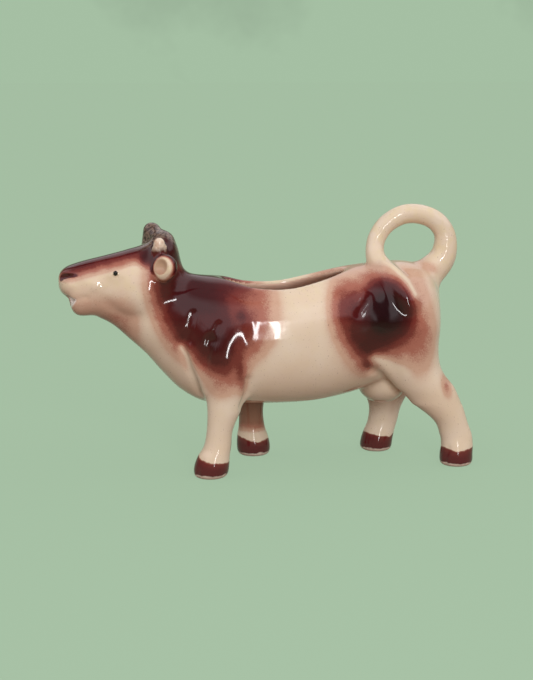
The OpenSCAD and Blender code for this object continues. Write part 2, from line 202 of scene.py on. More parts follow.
# How much nearer to a limb than to the body its clay is, and how far into the wall it reaches
LUTE, LUTE_DEPTH = 0.3, WALL * 0.6

# Folds on both sides: points on the cow's left side, how far the fold stands out (or in), its half width
FOLDS = [
    # Between the chest and the shoulder, and the edge of the shoulder behind it
    ([(-38.6, -16.7, 57), (-37, -17.3, 52), (-35.4, -17.1, 46), (-32.6, -16.3, 40), (-29.5, -12.8, 34)], -1.1, 1.7),
    ([(-35, -18.6, 54), (-33, -18.8, 48), (-30.4, -18.4, 42), (-27.6, -17, 36)], 0.7, 2),
    # Pressed into the shoulder
    ([(-32.6, -15.6, 68), (-33.4, -16.4, 65.8), (-35.7, -17.2, 59.8), (-36.6, -17.2, 57.4)], -0.7, 1.5),
    ([(-35.7, -17.2, 59.8), (-36.9, -17.2, 56.8)], -0.25, 1.5),
    ([(-23.4, -20.9, 64), (-25.4, -21.5, 60), (-27, -21.8, 57.5)], -0.7, 1.3),
    ([(-26.8, -21.8, 57.5), (-27.5, -21.9, 55.2), (-28.7, -21.7, 50.7), (-29.5, -21.5, 48.6)], -1.9, 1.8),
    # Behind the elbow
    ([(-12, -22, 41), (-12.4, -20, 35), (-14.2, -19.6, 30)], -1.1, 1.6),
    # Under the jaw and at the corner of the mouth
    ([(-67.5, -9.6, 72.5), (-62.5, -8.4, 68.6), (-58.5, -8.8, 66.6), (-54.5, -10.6, 66.6)], -0.6, 2.6),
    ([(-79, -8.7, 73.6), (-77, -9, 74.4), (-74.8, -9.1, 74.4)], -0.6, 0.9),
    # Pressed into the haunch and the barrel
    ([(38.3, -21.4, 74), (37.2, -22.2, 71.6), (35, -23.2, 68.6), (33.8, -23.7, 66.8)], -0.39, 1.6),
    ([(-8, -22.4, 68), (-8, -24.2, 60), (-8, -24.4, 50)], -0.19, 8),
    ([(-10.4, -23, 66), (-10.5, -24.2, 60), (-10.6, -24.2, 54)], 0.14, 1.7),
    # Between the flank and the thigh, and the edge of the thigh behind it
    ([(34.5, -24, 53), (37.5, -23, 49), (40.4, -20.5, 43)], -0.9, 2.2),
    ([(40.4, -20.1, 42.4), (44.3, -18.2, 40.4), (48.3, -13.5, 36.5), (52.8, -11.5, 32.4), (57, -10, 29)], -1.4, 1.5),
    ([(43.5, -21.6, 46), (48.5, -19, 41), (53.5, -16, 35.5)], 0.8, 2.2),
    # The mould's seam along the belly
    ([(-13, -14.5, 31.6), (0, -12.5, 29.7), (14, -11.5, 29.1), (28, -12, 30.3), (37, -13.5, 33)], 0.4, 0.6),
]
# The ridge that the tail draws over the near haunch
TAIL_RIDGE = ([(46.5, -12.5, 86), (51.5, -13.5, 83), (55.2, -15.5, 79.4), (57.7, -18.8, 74), (58.6, -21, 69)], 0.9, 1.5)
# Swellings (or hollows) on both sides: middle, height, reach
SWELLINGS = [
    ((-57, -11.5, 74), 0.9, 7),  # cheek
    ((-49.5, -12.5, 79), 0.8, 6),  # jaw
    ((-71.8, -9.6, 79.2), 0.8, 2.3),  # muzzle
    ((-81.4, -8.2, 79.2), 0.58, 1.6),  # lip
    ((-20.5, -23, 58), -0.3, 6.5),  # behind the shoulder
    ((37.5, -20.8, 75.8), 1.3, 5),  # haunch
    ((-44, -14, 60), 0.6, 6),  # neck
    ((43, -23.6, 58.5), 1.5, 8),  # thigh
    ((-82.8, -6.2, 78.4), 0.3, 2.8),  # nose
    ((-79.4, -4.6, 69.8), 0.5, 3.2),  # chin
    ((-63.4, -10.4, 87.2), 0.4, 3.4),  # brow
]
# The clay between the poll and the right horn: from, to and radii
CREST = ((-45.8, 8.5, 98), (-42.6, 1.5, 95.6), 3.4, 3.4)
# The points of the near hind leg: middle, height, reach
HOCK, FETLOCK = ([(75.6, -17.5, 33.6)], 0.9, 3.6), ([(82.6, -17, 12.6)], 0.9, 3.2)
# The cleft of a toe: how far ahead and out from the middle of the sole, as shares of its reach, and how high
CLEFT = [(0.86, 0.5, 0), (0.86, 0.55, 4), (0.6, 0.6, 8)]
TOE_REACH, CLEFT_DEPTH, CLEFT_WIDTH = SHANK_L * 0.66, 0.7, 0.75

# On the cow's left side
EYE = (-63.5, -11, 84.3)
LID_R, LID_HEIGHT, LID_WIDTH = 2.5, 0.4, 1.0
NOSTRIL = [(-84.8, -4.2, 82.2), (-78.6, -8.2, 83.6)]
NOSTRIL_R, NOSTRIL_ROOM = (1.35, 0.3), 4


# Small tools for rows and rings

RING = np.linspace(0, 2 * math.pi, ROUND_SIDES, endpoint=False)
COS, SIN = np.cos(RING), np.sin(RING)


def flowing(rows, steps):
    """The rows of a table and steps - 1 smooth ones between each two."""
    rows = np.array(rows, float)
    padded = np.vstack([rows[:1], rows, rows[-1:]])
    out = []
    for a, b, c, d in zip(padded, padded[1:], padded[2:], padded[3:]):
        first, second, third = c - a, 2 * a - 5 * b + 4 * c - d, 3 * b - a - 3 * c + d
        for u in np.arange(steps) / steps:
            out.append((2 * b + first * u + second * u**2 + third * u**3) / 2)
    return np.array(out + [rows[-1]])


def unit(rows):
    return rows / np.maximum(np.linalg.norm(rows, axis=1, keepdims=True), 1e-9)


def bent(c, n):
    """A cosine or sine of a ring, squared up where n is over 2."""
    return np.sign(c) * np.abs(c) ** (2 / n)


def section_rings(rows, origin_x, length, base_z, height, width):
    """Rings of a form given by top and bottom points, half width, widest level and roundness."""
    rings = []
    for s in flowing(rows, SPAN_STEPS):
        top = np.array([origin_x + s[0] * length, 0, base_z + s[1] * height])
        base = np.array([origin_x + s[2] * length, 0, base_z + s[3] * height])
        mid = base + (top - base) * s[5]
        across, rise = bent(COS, s[6]), bent(SIN, s[6])
        ring = mid + np.where(rise[:, None] > 0, top - mid, mid - base) * rise[:, None]
        ring[:, 1] += s[4] * width / 2 * across
        rings.append(ring)
    return np.array(rings)


def leg_rings(rows, leans, set_back, step, side):
    """Level rings of a leg, each moved by its share of the leg's step."""
    rings = []
    for s in flowing([[*row, lean] for row, lean in zip(rows, leans)], SPAN_STEPS):
        z = min(s[0], 1) * LEG_H + max(s[0] - 1, 0) * BARREL_H
        x = RUMP_X - set_back + step * s[4] + s[1] * SHANK_L / 2 * COS
        y = side * s[3] * TRACK / 2 + s[2] * SHANK_W / 2 * SIN
        rings.append(np.stack([x, y, np.full(ROUND_SIDES, z)], 1))
    return np.array(rings)


def tail_rings():
    """Rings of the tail, square to its run."""
    s = flowing(TAIL_SHARES, SPAN_STEPS)
    mid = np.stack([LOOP_X + s[:, 0] * LOOP_L, -s[:, 2] * BARREL_W / 2, BACK_Z + s[:, 1] * LOOP_H], 1)
    along = unit(np.gradient(mid, axis=0))
    level = unit(np.cross(along, [0, 1, 0]))
    out = np.cross(along, level)
    radius = (s[:, 3] * TAIL_D / 2)[:, None, None]
    return mid[:, None] + radius * (COS[None, :, None] * level[:, None] + SIN[None, :, None] * out[:, None])


# The clay: a block of distances in millimetres, negative inside


CORNERS = np.array([[list(v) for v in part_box(name)] for name in PIECES]) / MM
BOX_LOW, BOX_HIGH = CORNERS[:, 0].min(0), CORNERS[:, 1].max(0)
LOW, HIGH = BOX_LOW - BAND, BOX_HIGH + BAND
COUNTS = np.ceil((HIGH - LOW) / VOXEL).astype(int) + 1
WHOLE = (slice(None),) * 3
TO_WORLD = openvdb.createLinearTransform(voxelSize=VOXEL)


def loft(rings):
    """The distance field of the closed form through the rings."""
    count, sides = rings.shape[:2]
    points = np.vstack([rings.reshape(-1, 3), rings[:1].mean(1), rings[-1:].mean(1)]) - LOW
    i, k = np.meshgrid(np.arange(count - 1), np.arange(sides), indexing="ij")
    here, after = i * sides + k, i * sides + (k + 1) % sides
    quads = np.stack([here, after, after + sides, here + sides], -1).reshape(-1, 4)
    k = np.arange(sides)
    start = np.stack([(k + 1) % sides, k, np.full(sides, count * sides)], 1)
    last = (count - 1) * sides
    end = np.stack([last + k, last + (k + 1) % sides, np.full(sides, count * sides + 1)], 1)
    grid = openvdb.FloatGrid.createLevelSetFromPolygons(
        points.astype(np.float32),
        triangles=np.vstack([start, end]).astype(np.uint32),
        quads=quads.astype(np.uint32),
        transform=TO_WORLD,
        halfWidth=BAND / VOXEL,
    )
    block = np.empty(COUNTS, np.float32)
    grid.copyToArray(block)
    return block


def axes(part=WHOLE):
    """The x, y and z of the block's points, or of a part of it, ready to broadcast."""
    out = []
    for n in range(3):
        line = (LOW[n] + np.arange(COUNTS[n]) * VOXEL)[part[n]].astype(np.float32)
        out.append(line.reshape([-1 if m == n else 1 for m in range(3)]))
    return out


def part_round(low, high, reach):
    """The part of the block within reach of a box."""
    first = np.clip(np.floor((np.array(low) - reach - LOW) / VOXEL), 0, COUNTS - 1).astype(int)
    last = np.clip(np.ceil((np.array(high) + reach - LOW) / VOXEL) + 1, 1, COUNTS).astype(int)
    return tuple(slice(a, b) for a, b in zip(first, last))


def melt(a, b, k):
    """Two pieces of clay as one, with a fillet where they meet."""
    h = np.maximum(k - np.abs(a - b), 0) / k
    return np.minimum(a, b) - h * h * k / 4


def cut(a, b, k):
    """A piece of clay less another form, with a rounded edge."""
    return -melt(-a, b, k)


def turned(a, b, degrees):
    """Two coordinates as axes turned by an angle see them."""
    c, s = math.cos(math.radians(degrees)), math.sin(math.radians(degrees))
    return c * a + s * b, -s * a + c * b


def ball(at, middle, radii, turn_z=0.0, tilt_x=0.0):
    """Distance to an ellipsoid, near enough for small forms."""
    x, y, z = (a - m for a, m in zip(at, middle))
    x, y = turned(x, y, turn_z)
    y, z = turned(y, z, tilt_x)
    near = np.sqrt((x / radii[0]) ** 2 + (y / radii[1]) ** 2 + (z / radii[2]) ** 2)
    slope = np.sqrt((x / radii[0] ** 2) ** 2 + (y / radii[1] ** 2) ** 2 + (z / radii[2] ** 2) ** 2)
    return near * (near - 1) / np.maximum(slope, 1e-6)


def strand(at, a, b, r_a, r_b):
    """Distance to a rod from a to b whose radius runs from r_a to r_b."""
    a, b = np.array(a, float), np.array(b, float)
    way = b - a
    off = [at[n] - a[n] for n in range(3)]
    share = np.clip(sum(o * w for o, w in zip(off, way)) / (way @ way), 0, 1)
    gap = np.sqrt(sum((o - share * w) ** 2 for o, w in zip(off, way)))
    return gap - (r_a + (r_b - r_a) * share)


def path_gap(at, points):
    """Distance to a line through points."""
    return np.minimum.reduce([strand(at, a, b, 0, 0) for a, b in zip(points, points[1:])])


def ball_gap(at, middle):
    """Distance to a point."""
    return np.sqrt(sum((a - m) ** 2 for a, m in zip(at, middle)))


def raised(clay, points, height, width, side=-1):
    """Raises a fold along points, or sinks it. Side 1 makes it on the cow's right side."""
    points = [(x, -y * side, z) for x, y, z in points]
    part = part_round(np.min(points, 0), np.max(points, 0), 3 * width)
    gap = path_gap(axes(part), points) if len(points) > 1 else ball_gap(axes(part), points[0])
    clay[part] -= height * np.exp(-((gap / width) ** 2))


# The forms


def on_head(place, y=0.0):
    """The point of the head at a place, given as shares, and a distance to the right."""
    return (NAPE_X - HEAD_L * place[0], y, CHIN_Z + HEAD_H * place[1])


def room(middle, radii):
    """The part of the block that a ball can change."""
    return part_round(np.subtract(middle, radii), np.add(middle, radii), BAND)


def add_poll(clay):
    middle, radii = on_head(POLL_AT), (POLL_L / 2, POLL_W / 2, POLL_H / 2)
    part = room(middle, radii)
    clay[part] = melt(clay[part], ball(axes(part), middle, radii), THROAT_MELT / 2)
    part = part_round(np.minimum(CREST[0], CREST[1]), np.maximum(CREST[0], CREST[1]), BAND)
    clay[part] = melt(clay[part], strand(axes(part), *CREST), THROAT_MELT / 2)


def ear_middle(side, out):
    """A point on an ear's middle line."""
    turn, tilt = math.radians(EAR_TURN) * side, math.radians(EAR_TILT)
    way = np.array([-math.sin(turn) * side, math.cos(turn) * side, 0]) * math.cos(tilt)
    way[2] = math.sin(tilt)
    return on_head(EAR_AT, side * (HEAD_W / 2 - EAR_RIM)) + out * way


def ear_ball(at, side, middle, radii):
    return ball(at, middle, radii, EAR_TURN * side, EAR_TILT * side)


def ear_cup(at, side):
    """Distance to the hollow of an ear."""
    radii = (EAR_W / 2 - EAR_RIM, CUP_D, EAR_L / 2 - EAR_RIM)
    return ear_ball(at, side, ear_middle(side, EAR_OUT) + CUP_SHIFT, radii)


def ear_form(side):
    """A cupped ear: its part of the block and its distances there."""
    middle = ear_middle(side, EAR_OUT / 2)
    tip = middle + np.array([-0.06 * EAR_W, 0.04 * EAR_W * side, -EAR_L * 0.36])
    part = part_round(middle - EAR_L / 2, middle + EAR_L / 2, BAND)
    at = axes(part)
    bowl = ear_ball(at, side, middle, (EAR_W / 2, EAR_OUT / 2, EAR_L / 2))
    stem = ball_gap(at, ear_middle(side, 0)) - EAR_W * 0.3
    point = ball_gap(at, tip) - EAR_W * 0.16
    whole = melt(melt(bowl, stem, EAR_MELT), point, EAR_MELT)
    return part, cut(whole, ear_cup(at, side), CUP_MELT)


def horn_form(side, length, thick, ahead):
    root = np.subtract(on_head(HORN_AT, side * HEAD_W * 0.32), (ahead, 0, 0))
    splay = math.radians(HORN_SPLAY)
    tip_r = thick * 0.33
    tip = root + (length - tip_r) * np.array([0, side * math.sin(splay), math.cos(splay)])
    part = part_round(np.minimum(root, tip) - thick / 2, np.maximum(root, tip) + thick / 2, BAND)
    return part, strand(axes(part), root, tip, thick / 2, tip_r)


def udder_form():
    middle = (RUMP_X - BODY_L * UDDER_AT, 0, LEG_H + BARREL_H * UDDER_UP)
    radii = (UDDER_L / 2, UDDER_W / 2, UDDER_DROP)
    part = room(middle, radii)
    return part, ball(axes(part), middle, radii)


def mouth_hole(at):
    """Distance to the slanted oval channel between the lips."""
    x, y, z = (a - m for a, m in zip(at, on_head(MOUTH_AT)))
    back, rise = turned(x, z, MOUTH_SLOPE)
    oval = (np.sqrt((rise / (MOUTH_H / 2)) ** 2 + (y / (MOUTH_W / 2)) ** 2) - 1) * MOUTH_H / 2
    return np.maximum(oval, back - HEAD_L * 0.22)


def mouth_notch(at):
    """Distance to the wedge between the lips on the cow's left side."""
    x, y, z = (a - m for a, m in zip(at, on_head(NOTCH_AT)))
    wedge = cut(turned(x, z, -NOTCH_UP)[1], turned(x, z, NOTCH_DOWN)[1], NOTCH_MELT)
    return np.maximum(wedge, y + NOTCH_FLOOR)


def add_lip(clay):
    """The clay of the upper lip, ahead of the mouth."""
    part = room(on_head(LIP_AT), LIP_RADII)
    clay[part] = melt(clay[part], ball(axes(part), on_head(LIP_AT), LIP_RADII), LIP_MELT)


def filling_hole(at):
    """Distance to the oval shaft down from the back."""
    x, y, z = at
    off = x - (NAPE_X + BODY_L * HOLE_AT)
    oval = (np.sqrt((off / (HOLE_L / 2)) ** 2 + (y / (HOLE_W / 2)) ** 2) - 1) * HOLE_W / 2
    return np.maximum(oval, BACK_Z - BARREL_H / 2 - z)


def hoof_places():
    """The middles of the soles, leg by leg."""
    return [
        (RUMP_X - set_back + step * leans[0], side * rows[0][3] * TRACK / 2)
        for rows, leans, set_back, step, side in LEGS.values()
    ]


def ahead_of_seam():
    """How far each point is in front of the slanted seam between head and neck."""
    x, y, z = axes()
    lean = math.radians(SEAM_LEAN)
    return (z - CHIN_Z - HEAD_H * 0.7) * math.sin(lean) - (x - NAPE_X) * math.cos(lean) + 0 * y


def make_clay():
    """The whole jug as one field, the number of each point's piece, and the form that is hollowed."""
    trunk = loft(section_rings(TRUNK_SHARES, NAPE_X, BODY_L, LEG_H, BARREL_H, BARREL_W))
    head = loft(section_rings(HEAD_SHARES, NAPE_X, -HEAD_L, CHIN_Z, HEAD_H, HEAD_W))
    hollow_body = melt(trunk, head, THROAT_MELT)
    clay = hollow_body.copy()
    add_poll(clay)
    piece = np.where(ahead_of_seam() > 0, 2, 1).astype(np.uint8)

    def lute(name, form, k, part=WHOLE):
        """Joins a form to the clay and gives it what is nearer to it, down to the wall."""
        own = (form < clay[part] - LUTE) & (hollow_body[part] > -LUTE_DEPTH)
        piece[part][own] = PIECES.index(name) + 1
        clay[part] = melt(clay[part], form, k)

    for name, leg in LEGS.items():
        lute(name, loft(leg_rings(*leg)), LEG_MELT)
    lute("tail_handle", loft(tail_rings()), TAIL_MELT)
    part, form = udder_form()
    lute("udder", form, UDDER_MELT, part)
    for side, hand in ((-1, "left"), (1, "right")):
        part, form = ear_form(side)
        lute(hand + "_ear", form, EAR_MELT, part)
        part, form = horn_form(side, *HORNS[hand])
        lute(hand + "_horn", form, HORN_MELT, part)
        for points, height, width in FOLDS:
            raised(clay, points, height, width, side)
        for middle, height, reach in SWELLINGS:
            raised(clay, [middle], height, reach, side)
        add_face(clay, side)
    for fold in (TAIL_RIDGE, HOCK, FETLOCK):
        raised(clay, *fold)
    add_clefts(clay)
    add_lip(clay)
    at = axes()
    clay = cut(clay, mouth_notch(at), SLIT_MELT)
    clay = cut(clay, hollow_body + WALL, WALL_MELT)
    clay = cut(clay, mouth_hole(at), LIP_MELT)
    clay = cut(clay, filling_hole(at), RIM_MELT)
    return np.maximum(clay, -at[2]), piece, hollow_body


def add_face(clay, side):
    """Eye with its lid, and nostril, on one side."""
    eye = (EYE[0], EYE[1] * -side, EYE[2])
    part = part_round(eye, eye, 3 * LID_R)
    gap = ball_gap(axes(part), eye)
    clay[part] -= LID_HEIGHT * np.exp(-(((gap - LID_R) / LID_WIDTH) ** 2))
    clay[part] = melt(clay[part], gap - EYE_R, EYE_MELT)
    a, b = ((x, -y * side, z) for x, y, z in NOSTRIL)
    part = part_round(np.minimum(a, b), np.maximum(a, b), NOSTRIL_ROOM)
    clay[part] = cut(clay[part], strand(axes(part), a, b, *NOSTRIL_R), SLIT_MELT)


def add_clefts(clay):
    """The cleft at the toe of each hoof."""
    for x, y in hoof_places():
        out = math.copysign(TOE_REACH, y)
        points = [(x - TOE_REACH * ahead, y + out * aside, z) for ahead, aside, z in CLEFT]
        raised(clay, points, -CLEFT_DEPTH, CLEFT_WIDTH)


def nets(clay, piece):
    """The surfaces of all pieces: points, faces of the skin, and faces of the joints between pieces.

    Each cell of the block that a surface passes through gets one point, and each edge between two pieces, or a
    piece and the air, one face: a row of its four points and the pieces on its two sides, 0 for the air.
    """
    owner = np.where(clay < 0, piece, 0)
    cells = np.array(owner.shape) - 1
    number = np.full(cells, -1, np.int32)
    corner = [owner[tuple(slice(n, n + c) for n, c in zip(shift, cells))] for shift in np.ndindex(2, 2, 2)]
    crossed = np.logical_or.reduce([c != corner[0] for c in corner[1:]])
    total = int(crossed.sum())
    number[crossed] = np.arange(total)
    sums = np.zeros((2, total, 4))
    faces = []
    for axis in range(3):
        low = tuple(slice(None, -1) if n == axis else slice(1, -1) for n in range(3))
        high = tuple(slice(1, None) if n == axis else slice(1, -1) for n in range(3))
        first, second = owner[low], owner[high]
        at = np.argwhere(first != second)
        a, b = first[tuple(at.T)], second[tuple(at.T)]
        skin = (a == 0) | (b == 0)
        below, above = clay[low][tuple(at.T)], clay[high][tuple(at.T)]
        share = np.where(skin, below / np.where(skin, below - above, 1), 0.5)
        place = at + [0 if n == axis else 1 for n in range(3)]
        crossing = place.astype(float)
        crossing[:, axis] += share
        u, v = (axis + 1) % 3, (axis + 2) % 3
        ring = []
        for du, dv in ((1, 1), (0, 1), (0, 0), (1, 0)):
            cell = place.copy()
            cell[:, u] -= du
            cell[:, v] -= dv
            ring.append(number[tuple(cell.T)])
        faces.append(np.column_stack([*ring, a, b, skin]))
        for kind in (0, 1):
            chosen = skin == (kind == 0)
            for n in ring:
                for m in range(3):
                    sums[kind, :, m] += np.bincount(n[chosen], crossing[chosen, m], total)
                sums[kind, :, 3] += np.bincount(n[chosen], minlength=total)
    faces = np.vstack(faces)
    count = sums[:, :, 3:]
    use = np.where(count[0] > 0, sums[0, :, :3] / np.maximum(count[0], 1), sums[1, :, :3] / np.maximum(count[1], 1))
    skin = faces[:, 6] == 1
    return LOW + VOXEL * use, faces[skin, :6], faces[~skin, :6]


def sampled(block, points):
    """The block's value at points between its own, blended from the eight round each."""
    at = np.clip((points - LOW) / VOXEL, 0, COUNTS - 1.001)
    cell = at.astype(int)
    share = at - cell
    out = 0
    for shift in np.ndindex(2, 2, 2):
        weight = np.abs(1 - np.array(shift) - share).prod(1)
        out = out + weight * block[tuple((cell + shift).T)]
    return out


def eased(points, quads, weights, held=None):
    """Smooths rows of points or normals: each weight moves them so far toward their neighbours' mean."""
    edges = np.vstack([quads[:, [n, (n + 1) % 4]] for n in range(4)])
    edges = np.unique(np.sort(edges, 1), axis=0)
    start, end = np.vstack([edges, edges[:, ::-1]]).T
    count = np.maximum(np.bincount(start, minlength=len(points)), 1)[:, None]
    free = np.bincount(start, minlength=len(points)) > 0
    if held is not None:
        free &= ~held
    for weight in weights:
        mean = np.stack([np.bincount(start, points[end, n], len(points)) for n in range(3)], 1) / count
        points = np.where(free[:, None], points + weight * (mean - points), points)
    return points


def facing(points, quads):
    """Area-weighted normals of the faces."""
    return np.cross(points[quads[:, 2]] - points[quads[:, 0]], points[quads[:, 3]] - points[quads[:, 1]])


def point_normals(points, quads):
    out = facing(points, quads)
    sides = [[np.bincount(quads[:, c], out[:, n], len(points)) for c in range(4)] for n in range(3)]
    return unit(np.stack([sum(side) for side in sides], 1))


def make_surfaces():
    """Points, faces of the skin, their pieces, faces of the joints, and which points are inside the jug."""
    clay, piece, hollow_body = make_clay()
    points, skin, joints = nets(clay, piece)
    # Every face of the skin is turned to the air
    skin_quads = np.where(skin[:, 4:5] == 0, skin[:, 3::-1], skin[:, :4])
    skin_owner = np.maximum(skin[:, 4], skin[:, 5])
    on_skin = np.zeros(len(points), bool)
    on_skin[skin_quads] = True
    points = eased(points, skin_quads, SKIN_EASE)
    points = eased(points, joints[:, :4], JOINT_EASE, on_skin)
    points = np.clip(points, BOX_LOW, BOX_HIGH)
    inside = sampled(hollow_body, points) < -WALL * 0.5
    return points, skin_quads, skin_owner, joints, inside


def add_object(name, data):
    thing = bpy.data.objects.new(name, data)
    bpy.context.scene.collection.objects.link(thing)
    return thing


def new_piece(name, points, quads, normals, material):
    """A mesh object, with one given normal at each corner of a face."""
    used, index = np.unique(quads, return_inverse=True)
    index = index.reshape(-1).astype(np.int32)
    mesh = bpy.data.meshes.new(name)
    mesh.vertices.add(len(used))
    mesh.vertices.foreach_set("co", (points[used] * MM).astype(np.float32).ravel())
    mesh.loops.add(len(index))
    mesh.loops.foreach_set("vertex_index", index)
    mesh.polygons.add(len(quads))
    mesh.polygons.foreach_set("loop_start", np.arange(0, len(index), 4, dtype=np.int32))
    mesh.update()
    mesh.shade_smooth()
    mesh.normals_split_custom_set(normals.reshape(-1, 3))
    mesh.materials.append(material)
    return add_object(name, mesh), used


# Paint: densities of underglaze colour, painted shade and a painted highlight at points of the skin


# Ovals of maroon on the flanks: middle x and z, reach along and across, turn in degrees, softness, weight
FLANK_SPRAY = [
    [-33.5, 77, 15, 9, -12, 0.17, 0.76],
    [-30, 65, 12.5, 10.5, -30, 0.14, 0.68],
    [-25, 53.5, 7.5, 7.5, -30, 0.26, 0.74],
    [-22, 80.5, 14, 5, -6, 0.26, 0.55],
    [-15, 59.5, 9, 8, -10, 0.36, 0.5],
    [-11.5, 72, 10, 9, -10, 0.36, 0.34],
    [-14.1, 66.8, 1.7, 2.6, 0, 0.35, 0.4],
    [-41.5, 64, 7.5, 12.5, 25, 0.34, 0.42],
    [-47.5, 70, 9, 12, 14, 0.5, 0.26],
    [-20, 45.5, 6, 6, 0, 0.38, 0.34],
    [-14.8, 43.5, 1.6, 5.5, 8, 0.45, 0.36],
    [-23, 37, 6, 4, 0, 0.5, 0.12],
    [45.6, 67.5, 10.8, 11.8, 0, 0.13, 0.98],
    [42.5, 64.5, 18, 16.5, 0, 0.25, 0.2],
    [29.2, 67.5, 5.4, 9, 4, 0.3, 0.5],
    [34, 66, 5, 9, 0, 0.35, 0.3],
    [38, 57, 8, 7, -20, 0.22, 0.66],
    [37.3, 48.5, 3.6, 5.5, 0, 0.4, 0.34],
    [38.4, 45.6, 1.8, 1.6, 0, 0.3, 0.5],
    [50, 57.5, 11, 7.5, 0, 0.32, 0.3],
    [48, 79, 10, 4.5, 0, 0.4, 0.14],
    [61, 60, 4.6, 18, 0, 0.45, 0.14],
    [58, 47, 7, 6, 0, 0.5, 0.08],
    [33, 46, 7, 6, 0, 0.5, 0.07],
    [69, 82.8, 4, 2, -20, 0.55, 0.14],
    [72.4, 34.6, 1.8, 3.6, 10, 0.55, 0.28],
]
# Lines along which the spray is thin, on ridges: points x and z, half width, how much is taken away
FLANK_WIPES = [
    ([(-38, 54), (-35.5, 50), (-33, 43), (-30, 36)], 1.4, 0.8),
    ([(41, 48), (46, 45.5), (53, 41)], 2.6, 0.8),
    ([(48, 88), (52, 83), (55.8, 78.8), (57.9, 74)], 1.6, 0.8),
]
# How far ahead and up the patches of the cow's right side are, and where the two sides blend
FAR_AHEAD, FAR_UP, MIDDLE = 1.5, 0.8, (-3, 3)
# The band over the bridge of the nose: x, the level where it fades out and the level where it is dark
NOSE_X = [-86, -79.4, -69.5, -57.5, -50.4, -44]
NOSE_LOW = [79.4, 80, 82.6, 85.8, 87.2, 84.8]
NOSE_HIGH = [86.6, 87, 89.8, 92.4, 93.4, 91]
NOSE_DENSITY, NOSE_SHARPNESS = 0.85, 1.3
# The faint tint of the face all over it, and the painted shade down its lower side and under the jaw
FACE_TINT, SIDE_PAINTED_SHADE, JAW_PAINTED_SHADE = 0.04, 0.12, 0.08
# Densities on the crest, before the ears, on the ears' backs and in their bowls, and of the painted shade on the upper
# far foreleg
CREST_DENSITY, BROW_DENSITY, EAR_DENSITY, BOWL_DENSITY, FAR_SHANK_PAINTED_SHADE = 0.9, 0.8, 0.85, 0.42, 0.58
# The upper edge of the hooves' paint: level, how much lower it is at the back of each, and its two waves
HOOF_TOP, HOOF_DIPS, HOOF_WAVES = 7.6, (1.2, 0.6, 0.2, 0.4), (0.5, 0.3)
# Where the tan of the lips begins, ahead of the near-white painted highlight between them
LIP_EDGE = (81.6, 82.2)


def sprayed(x, z, table):
    """The density of airbrushed colour: soft ovals laid over each other."""
    bare = np.ones(len(x))
    for mid_x, mid_z, reach_x, reach_z, turn, fade, weight in table:
        u, v = turned(x - mid_x, z - mid_z, turn)
        bare *= 1 - weight / (1 + np.exp((np.hypot(u / reach_x, v / reach_z) - 1) / fade))
    return 1 - bare


def step_up(value, low, high):
    """0 below low, 1 above high and a smooth rise between them."""
    share = np.clip((value - low) / (high - low), 0, 1)
    return share * share * (3 - 2 * share)


def step_down(value, low, high):
    return 1 - step_up(value, low, high)


def spray_and_painted_shade(points):
    """Density of the maroon at points in millimetres, with painted shade darkening the lower face and the underside of
    the jaw.
    """
    x, y, z = points.T
    near = sprayed(x, z, FLANK_SPRAY)
    far = sprayed(x + FAR_AHEAD, z - FAR_UP, FLANK_SPRAY)
    for line, width, amount in FLANK_WIPES:
        gap = path_gap((x, np.zeros(len(x)), z), [(a, 0, b) for a, b in line])
        wipe = 1 - amount * np.exp(-((gap / width) ** 2))
        near *= wipe
        far *= wipe
    flank = near + (far - near) * step_up(y, *MIDDLE)
    flank = flank * step_down(-x - 0.35 * (z - 72), 42, 58)
    # Painted shade: the lower face and the underside of the jaw are darkened, over a faint tint of the whole face.
    face_tint_and_painted_shade = FACE_TINT + SIDE_PAINTED_SHADE * step_down(z, 66, 82) + JAW_PAINTED_SHADE * step_down(z, 65, 69)
    flank = np.maximum(flank, face_tint_and_painted_shade * step_up(-x, 48, 62))
    low, high = np.interp(x, NOSE_X, NOSE_LOW), np.interp(x, NOSE_X, NOSE_HIGH)
    nose = NOSE_DENSITY * np.clip((z - low) / (high - low), 0, 1) ** NOSE_SHARPNESS
    nose *= step_down(x, -52, -44)
    crest = CREST_DENSITY * step_up(x, -54, -48) * step_up(z, 84, 90) * step_down(x, -30, -18)
    brow = BROW_DENSITY * np.exp(-(((x + 51.5) / 2.2) ** 2)) * step_up(z, 85, 91) * step_up(np.abs(y), 6, 9)
    return np.clip(1 - (1 - np.clip(flank, 0, 1)) * (1 - nose) * (1 - crest) * (1 - brow), 0, 1)


def hoof_rise(points):
    """How far below the upper edge of the nearest hoof's paint a point lies, in millimetres."""
    out = np.full(len(points), -20.0)
    for (x, y), dip in zip(hoof_places(), HOOF_DIPS):
        off_x, off_y = points[:, 0] - x, points[:, 1] - y
        way = np.arctan2(off_y, off_x)
        edge = HOOF_TOP - dip * np.cos(way)
        edge = edge + HOOF_WAVES[0] * np.cos(2 * way) + HOOF_WAVES[1] * np.sin(3 * way + x)
        out = np.where(np.hypot(off_x, off_y) < SHANK_L, edge - points[:, 2], out)
    return out


def ear_paint(points):
    """How far each point belongs to an ear, and there the maroon and the tan."""
    at = points.T
    zone, maroon, tan = np.zeros((3, len(points)))
    for side in (-1, 1):
        root = ear_middle(side, 0)
        way = ear_middle(side, 1) - root
        out = (points - root) @ way
        off = np.linalg.norm(points - root - out[:, None] * way, axis=1)
        here = step_up(out, 1, 2.4) * step_down(off, EAR_L * 0.6, EAR_L * 0.68)
        bowl = step_down(ear_cup(at, side), 0, 0.6)
        level = at[2] - root[2]
        back = EAR_DENSITY * step_down(out, 5, 7) * (0.3 + 0.7 * step_up(level, -4, -0.5))
        floor = BOWL_DENSITY * bowl * step_down(level, -3.4, 0.5)
        zone = np.maximum(zone, here)
        maroon = np.where(here > 0.01, np.maximum(back * (1 - bowl), floor), maroon)
        tan = np.maximum(tan, here * np.maximum(0.8 * bowl, 0.5 * step_down(level, -6, -3.5)))
    return zone, maroon, tan


